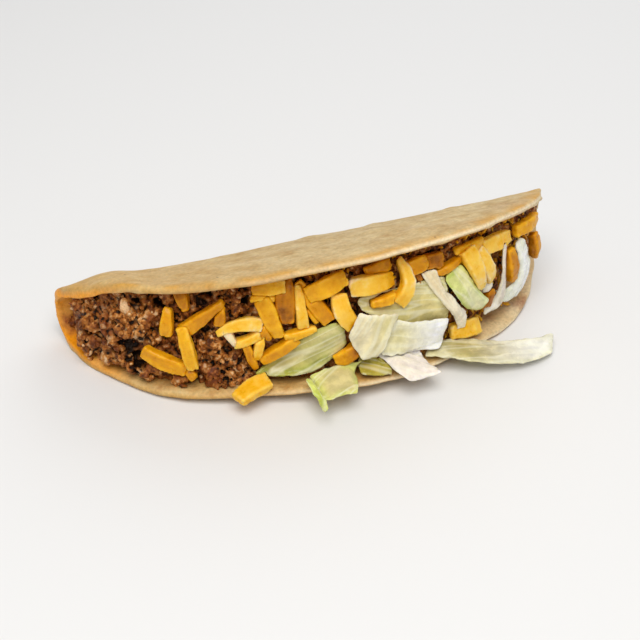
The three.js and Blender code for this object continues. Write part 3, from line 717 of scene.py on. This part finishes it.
beef, shader = material_of("browned_ground_beef")
place = add(beef, "TexCoord").outputs["Object"]
tone = add(beef, "Attribute", attribute_name="tone").outputs["Fac"]
depth = add(beef, "Attribute", attribute_name="depth").outputs["Fac"]
grain = add(beef, "TexNoise", {"Vector": place, "Scale": 1 / MEAT_GRAIN, "Detail": 3.0, "Roughness": 0.65})
cloud = add(beef, "TexNoise", {"Vector": place, "Scale": 1 / RED_PATCH, "Detail": 2.0})
patch = add(beef, "TexNoise", {"Vector": place, "Scale": 1 / TONE_PATCH, "Detail": 2.0})
shift = add(beef, "MapRange", {"Value": patch.outputs["Fac"], "From Min": 0.3, "From Max": 0.7,
                               "To Min": -0.3, "To Max": 0.3})
shifted = add(beef, "Math", {0: tone, 1: shift.outputs["Result"]}, operation="ADD", use_clamp=True)
tones = add(beef, "ValToRGB", {"Fac": shifted.outputs[0]})
steps = tones.color_ramp.elements
for share, colour in BEEF_TONES.items():
    step = steps[0] if share == 0 else steps[-1] if share == 1 else steps.new(share)
    step.color = linear(colour)
redness = add(beef, "MapRange", {"Value": cloud.outputs["Fac"], "From Min": 0.48, "From Max": 0.62,
                                 "To Max": 0.5})
reddened = add(beef, "Mix", {FACTOR: redness.outputs["Result"], FIRST: tones.outputs["Color"],
                             SECOND: linear(BEEF_RED)}, data_type="RGBA")
mottled = add(beef, "MapRange", {"Value": grain.outputs["Fac"], "From Min": 0.3, "From Max": 0.7,
                                 "To Min": 0.7, "To Max": 1.25})
grained = add(beef, "VectorMath", {0: reddened.outputs[MIXED], 1: mottled.outputs["Result"]},
              operation="MULTIPLY")
# Painted shade: where the depth attribute is high, the colour is mixed toward near-black.
hollow_shade_amount = add(beef, "MapRange", {"Value": depth, "From Min": 0.05, "From Max": 0.75, "To Max": 0.97})
shaded_hollows = add(beef, "Mix", {FACTOR: hollow_shade_amount.outputs["Result"], FIRST: grained.outputs["Vector"],
                         SECOND: linear(BEEF_HOLLOW_SHADE)}, data_type="RGBA")
meat_relief = add(beef, "Bump", {"Height": grain.outputs["Fac"], "Distance": 0.2 * MM, "Strength": 0.7})
moist = add(beef, "MapRange", {"Value": grain.outputs["Fac"], "From Min": 0.35, "From Max": 0.65,
                               "To Min": 0.35, "To Max": 0.62})
feed(beef, shader, {"Base Color": shaded_hollows.outputs[MIXED], "Roughness": moist.outputs["Result"],
                    "Normal": meat_relief.outputs["Normal"], "Specular IOR Level": 0.2,
                    "Subsurface Weight": 0.08, "Subsurface Radius": (1.0, 0.4, 0.2),
                    "Subsurface Scale": 0.6 * MM})
for piece in (heap, loose):
    piece.data.materials.append(beef)
    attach(piece, "root")
    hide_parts("ground_beef")


# ---- The cheddar ----
# Orange cheddar, cut on a coarse shredder: short square-edged strips a few millimetres thick, bent by
# the warm beef, with fine grooves along them from the blade and torn ends.

CHEDDAR_VOXEL = 0.32 * MM
BLADE_GROOVES = {"spacing": numpy.array([9, 0.7, 0.7]) * MM, "height": 0.08 * MM}
DENTS = {"size": 2.6 * MM, "height": 0.24 * MM}
SOFT_SWELL = 0.2 * MM
TORN_END = {"reach": 1.8 * MM, "size": 1.0 * MM, "height": 0.35 * MM}
# How light each shred is at its left and right ends, from 0 for dark brown to 1 for cream. Besides the
# cheese's own colour, the tones hold painted shade, dark on shreds that lie in shadow under the upper
# wall, and painted highlights, pale where a shred catches the light.
SHRED_TONE_LIGHT_AND_SHADE = [
    (0.14, 0.20), (0.40, 0.72), (0.30, 0.38), (0.42, 0.55), (0.66, 0.62), (0.46, 0.50), (0.50, 0.55),
    (0.40, 0.42), (0.62, 0.58), (0.30, 0.30), (0.62, 0.78), (0.68, 0.66), (0.36, 0.26), (0.52, 0.58),
    (0.40, 0.42), (0.22, 0.26), (0.40, 0.42), (0.46, 0.10), (0.06, 0.06), (0.16, 0.14), (0.34, 0.26),
    (0.30, 0.34), (0.80, 0.46), (0.44, 0.55), (0.52, 0.80), (0.74, 0.68), (0.60, 0.80), (0.44, 0.48),
    (0.32, 0.26), (0.02, 0.44), (0.64, 0.68), (0.76, 0.50), (0.58, 0.66), (0.95, 1.00), (0.22, 0.26),
    (0.52, 0.52), (0.26, 0.26), (0.34, 0.34), (0.74, 0.80), (0.44, 0.48), (0.10, 0.14), (0.26, 0.44),
    (0.26, 0.26),
]


def long_axes(points):
    """A piece's own middle and three directions, the longest first."""
    middle = points.mean(0)
    _, directions = numpy.linalg.eigh(numpy.cov((points - middle).T))
    return middle, directions[:, ::-1]


shreds = []
for number, (name, (left_tone_and_shade, right_tone_and_shade)) in enumerate(zip(SHREDS, SHRED_TONE_LIGHT_AND_SHADE), 1):
    shred = copy_of(name, name + "_shred")
    shape_with(shred, "REMESH", mode="VOXEL", voxel_size=CHEDDAR_VOXEL)
    shape_with(shred, "SMOOTH", factor=0.5, iterations=5)
    points, normals = points_of(shred), normals_of(shred)
    middle, axes = long_axes(points)
    own = (points - middle) @ axes
    grooves = ripple(own, BLADE_GROOVES["spacing"], shift=number) * BLADE_GROOVES["height"]
    dents = ripple(points, DENTS["size"], shift=number) * DENTS["height"]
    from_end = numpy.abs(own[:, 0]).max() - numpy.abs(own[:, 0])
    at_end = between(from_end, TORN_END["reach"], 0)
    torn = ripple(points, TORN_END["size"], shift=number) * at_end * TORN_END["height"]
    lift = grooves + dents + torn + SOFT_SWELL
    move_points(shred, points + normals * lift[:, None])
    rightward = between(points[:, 0], points[:, 0].min(), points[:, 0].max())
    # The tone holds painted shade and painted highlights along with the cheese's own colour.
    paint(shred, "tone", left_tone_and_shade + (right_tone_and_shade - left_tone_and_shade) * rightward)
    # How far each vertex stands out, which the material lightens as a painted highlight.
    paint(shred, "edge", relief_of(shred, rounds=6))
    shreds.append(shred)

# Small bits that broke off the shreds lie between them, more of them towards the right.
BIT_RADIUS = (0.45 * MM, 1.2 * MM)
BIT_SHAPE = (1.8, 0.75, 0.6)
BIT_KINDS = 6
BIT_ROUGHNESS = 0.6
BIT_TRIES = 2600
BITS_START, BITS_FULL = -20 * MM, 30 * MM
BIT_TONES = (0.3, 0.8)
bits = landed(BIT_TRIES, BIT_RADIUS, BIT_SHAPE[0] * LUMP_REACH,
              lambda along: between(along, BITS_START, BITS_FULL))
plain_bits = [lump_shape(40 + seed, BIT_ROUGHNESS) for seed in range(BIT_KINDS)]
bit_shapes = [(corners * BIT_SHAPE, faces) for corners, faces in plain_bits]
broken = scattered("cheddar_bits", bit_shapes, bits, chance)
bit_tones = BIT_TONES[0] + (BIT_TONES[1] - BIT_TONES[0]) * tones_at(broken, bits, chance)
paint(broken, "tone", bit_tones)
paint(broken, "edge", numpy.zeros(len(bit_tones)))
shreds.append(broken)

bpy.ops.object.select_all(action="DESELECT")
for shred in shreds:
    shred.select_set(True)
cheddar = shreds[0]
bpy.context.view_layer.objects.active = cheddar
bpy.ops.object.join()
cheddar.name = "cheddar_shreds"
cheddar.data.shade_smooth()

# Mild cheddar coloured with annatto: smooth, waxy and slightly see-through, so a little light sinks in.
# The eye sees a saturated yellow-orange and a soft satin shine, with a painted highlight that makes
# the raised edges of each shred paler.
CHEDDAR_TONES = {0.0: 0x6E3A08, 0.2: 0xB97206, 0.4: 0xDB960A, 0.6: 0xF0B41C, 0.8: 0xF8CB54, 1.0: 0xF5E0B4}
# How much paler the raised edges become: a painted highlight.
EDGE_HIGHLIGHT = 0.14
CURD_LIGHT = 0.08
CURD = 1.8 * MM
WARMTH = 4 * MM
PORE = 0.4 * MM

cheese, shader = material_of("shredded_cheddar")
place = add(cheese, "TexCoord").outputs["Object"]
tone = add(cheese, "Attribute", attribute_name="tone").outputs["Fac"]
edge = add(cheese, "Attribute", attribute_name="edge").outputs["Fac"]
curd = add(cheese, "TexNoise", {"Vector": place, "Scale": 1 / CURD, "Detail": 4.0, "Roughness": 0.6})
pores = add(cheese, "TexNoise", {"Vector": place, "Scale": 1 / PORE, "Detail": 2.0})
# Painted highlight: the raised edges of the shreds are made paler.
painted_edge_highlight = add(cheese, "MapRange", {"Value": edge, "From Min": 0.0, "From Max": 0.14, "To Max": EDGE_HIGHLIGHT})
warmth = add(cheese, "TexNoise", {"Vector": place, "Scale": 1 / WARMTH, "Detail": 1.0})
warm_light = add(cheese, "MapRange", {"Value": warmth.outputs["Fac"], "From Min": 0.35, "From Max": 0.65,
                                      "To Min": -0.05, "To Max": 0.06})
curd_light = add(cheese, "MapRange", {"Value": curd.outputs["Fac"], "From Min": 0.3, "From Max": 0.7,
                                      "To Min": -CURD_LIGHT, "To Max": CURD_LIGHT})
lighter = add(cheese, "Math", {0: tone, 1: painted_edge_highlight.outputs["Result"]}, operation="ADD")
warmer = add(cheese, "Math", {0: lighter.outputs[0], 1: warm_light.outputs["Result"]}, operation="ADD")
varied = add(cheese, "Math", {0: warmer.outputs[0], 1: curd_light.outputs["Result"]}, operation="ADD")
tones = add(cheese, "ValToRGB", {"Fac": varied.outputs[0]})
steps = tones.color_ramp.elements
for share, colour in CHEDDAR_TONES.items():
    step = steps[0] if share == 0 else steps[-1] if share == 1 else steps.new(share)
    step.color = linear(colour)
pore_relief = add(cheese, "Bump", {"Height": pores.outputs["Fac"], "Distance": 0.05 * MM, "Strength": 0.6})
curd_relief = add(cheese, "Bump", {"Height": curd.outputs["Fac"], "Distance": 0.25 * MM, "Strength": 0.5,
                                   "Normal": pore_relief.outputs["Normal"]})
satin = add(cheese, "MapRange", {"Value": curd.outputs["Fac"], "From Min": 0.35, "From Max": 0.65,
                                 "To Min": 0.25, "To Max": 0.42})
feed(cheese, shader, {"Base Color": tones.outputs["Color"], "Roughness": satin.outputs["Result"],
                      "Normal": curd_relief.outputs["Normal"], "Specular IOR Level": 0.3,
                      "Subsurface Weight": 0.35, "Subsurface Radius": (1.0, 0.6, 0.25),
                      "Subsurface Scale": 0.8 * MM, "IOR": 1.45})
cheddar.data.materials.append(cheese)
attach(cheddar, "root")
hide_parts(*SHREDS)


# ---- The lettuce ----
# Iceberg lettuce, torn and cut: thin wet leaves, crisp and pale, with raised veins that run along each
# piece, greener where the leaf is thin and nearly white where the rib was.

LEAF_VOXEL = 0.26 * MM
LEAF_PUCKER = {"size": 6 * MM, "height": 0.5 * MM}
# Lengths along a leaf and widths across it, in millimetres.
LEAF_CRINKLE = {"spacing": (14, 3.2), "height": 0.2 * MM}
LEAF_VEINS = {"spacing": (18, 1.8), "height": 0.12 * MM, "sharpness": 3}
LEAF_STREAKS = {"spacing": (20, 2.2), "strength": 0.3, "fade": (0.05, 0.5)}
LEAF_EDGE = {"size": 2.2 * MM, "height": 0.5 * MM, "depth": 0.7 * MM, "thinning": 0.2 * MM}
FRINGE = {"width": 1.3 * MM, "strength": 0.7}
TINT_TURN = (0.3, 0.8)  # how far along a leaf its colour starts and ends to turn
# The colours of each leaf at its left and right ends, and of its thin edge and streaks.
LEAF_LOOKS = {
    "behind": (0xCEC072, 0xDCCC8A, 0xE0D89E),
    "under": (0xB9A23E, 0xC4B050, 0xA9A040),
    "rim_right": (0xE6DACA, 0xEADFD6, 0xF6EEE4),
    "long_right": (0xBEB070, 0xE4E2D8, 0xDCD8B4),
    "rib": (0xDFD6A2, 0xFFFFFF, 0xF4F2E2),
    "long_left": (0xBCAC5A, 0xD6CC90, 0x9EA83E),
    "corner": (0xEADDB2, 0xD8CC8E, 0xF4EDD4),
    "rim_left": (0xD2C68C, 0xCFC288, 0xCCD46A),
    "strand": (0xDCE28A, 0xCFD56C, 0xB6C446),
    "strip": (0xE6D2A2, 0xF4E6D0, 0xF4E8CE),
    "green": (0xE2E09C, 0xECEAC0, 0xB4C83E),
    "shaving": (0xEFE8DA, 0xEFE8DA, 0xDCCFB0),
    "curl": (0xF0ECE2, 0xECDFD6, 0xD2C9A8),
    "right_end": (0xECEEDA, 0xFAFCF8, 0xE6EAD0),
}

# Raw iceberg leaf: watery and translucent, so light passes through and it stays pale even in shade. The
# eye sees cream to yellow-green with lighter veins, a white rib and wet highlights.
LEAF_VEIN = 0xF4F2DC
CELL = 0.8 * MM
CLOUD = 3.5 * MM

iceberg, shader = material_of("raw_iceberg_leaf")
place = add(iceberg, "TexCoord").outputs["Object"]
tint = add(iceberg, "Attribute", attribute_name="tint").outputs["Color"]
vein = add(iceberg, "Attribute", attribute_name="vein").outputs["Fac"]
cloud = add(iceberg, "TexNoise", {"Vector": place, "Scale": 1 / CLOUD, "Detail": 4.0, "Roughness": 0.6})
cells = add(iceberg, "TexNoise", {"Vector": place, "Scale": 1 / CELL, "Detail": 3.0})
cloudy = add(iceberg, "MapRange", {"Value": cloud.outputs["Fac"], "From Min": 0.3, "From Max": 0.7,
                                   "To Min": 0.8, "To Max": 1.18})
clouded = add(iceberg, "VectorMath", {0: tint, 1: cloudy.outputs["Result"]}, operation="MULTIPLY")
vein_amount = add(iceberg, "MapRange", {"Value": vein, "From Min": 0.45, "From Max": 1.0,
                                        "To Max": 0.42})
veined = add(iceberg, "Mix", {FACTOR: vein_amount.outputs["Result"], FIRST: clouded.outputs["Vector"],
                              SECOND: linear(LEAF_VEIN)}, data_type="RGBA")
cell_relief = add(iceberg, "Bump", {"Height": cells.outputs["Fac"], "Distance": 0.1 * MM,
                                    "Strength": 0.5})
wet = add(iceberg, "MapRange", {"Value": cloud.outputs["Fac"], "From Min": 0.35, "From Max": 0.65,
                                "To Min": 0.16, "To Max": 0.34})
feed(iceberg, shader, {"Base Color": veined.outputs[MIXED], "Roughness": wet.outputs["Result"],
                       "Normal": cell_relief.outputs["Normal"], "Subsurface Weight": 0.45,
                       "Subsurface Radius": (1.0, 0.95, 0.6), "Subsurface Scale": 1.0 * MM, "IOR": 1.37})


def along_leaf(flat, spacing, shift):
    """Noise over a leaf laid flat, drawn out along it."""
    return ripple(flat / numpy.array([spacing[0] * MM, spacing[1] * MM, 1]), 1.0, shift)


for number, (title, looks) in enumerate(LEAF_LOOKS.items()):
    node = "lettuce_" + title
    leaf = copy_of(node, "leaf_" + title)
    rim_tree = tree_of(sharp_line_of(leaf))
    shape_with(leaf, "SUBSURF", levels=2, render_levels=2)
    shape_with(leaf, "REMESH", mode="VOXEL", voxel_size=LEAF_VOXEL)
    shape_with(leaf, "SMOOTH", factor=0.5, iterations=3)
    points, normals = points_of(leaf), normals_of(leaf)
    from_rim = numpy.array([rim_tree.find(point)[2] for point in points])
    near_rim = numpy.exp(-((from_rim / LEAF_EDGE["depth"]) ** 2))
    middle, axes = long_axes(points)
    own = (points - middle) @ axes
    flat = own * [1, 1, 0]
    sheet_out = axes[:, 2] * numpy.sign(axes[:, 2] @ numpy.array(MOUTH_DIRECTION))
    pucker = ripple(flat, LEAF_PUCKER["size"], shift=number * 5.3) * LEAF_PUCKER["height"]
    crease = 1 - 2 * numpy.abs(along_leaf(flat, LEAF_CRINKLE["spacing"], shift=number))
    veins = numpy.abs(along_leaf(flat, LEAF_VEINS["spacing"], shift=number * 2.1))
    veins = numpy.clip(1 - veins * LEAF_VEINS["sharpness"], 0, 1)
    edge = ripple(points, LEAF_EDGE["size"], shift=number) * LEAF_EDGE["height"] - LEAF_EDGE["thinning"]
    shaped = points + sheet_out * (pucker + crease * LEAF_CRINKLE["height"])[:, None]
    shaped += normals * (veins * LEAF_VEINS["height"] + edge * near_rim)[:, None]
    move_points(leaf, shaped)
    leaf.data.shade_smooth()
    left, right, fringe = [numpy.array(linear(colour)) for colour in looks]
    along = between(points[:, 0], points[:, 0].min(), points[:, 0].max())
    rightward = between(along, *TINT_TURN)[:, None]
    streaks = along_leaf(flat, LEAF_STREAKS["spacing"], shift=number * 3.3)
    streaks = between(streaks, *LEAF_STREAKS["fade"])
    fringed = FRINGE["strength"] * numpy.exp(-((from_rim / FRINGE["width"]) ** 2))
    fringed = numpy.maximum(fringed, LEAF_STREAKS["strength"] * streaks)[:, None]
    tints = (left + (right - left) * rightward) * (1 - fringed) + fringe * fringed
    leaf.data.attributes.new("tint", "FLOAT_COLOR", "POINT").data.foreach_set("color", tints.ravel())
    paint(leaf, "vein", veins)
    leaf.data.materials.append(iceberg)
    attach(leaf, "root")
    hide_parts(node)
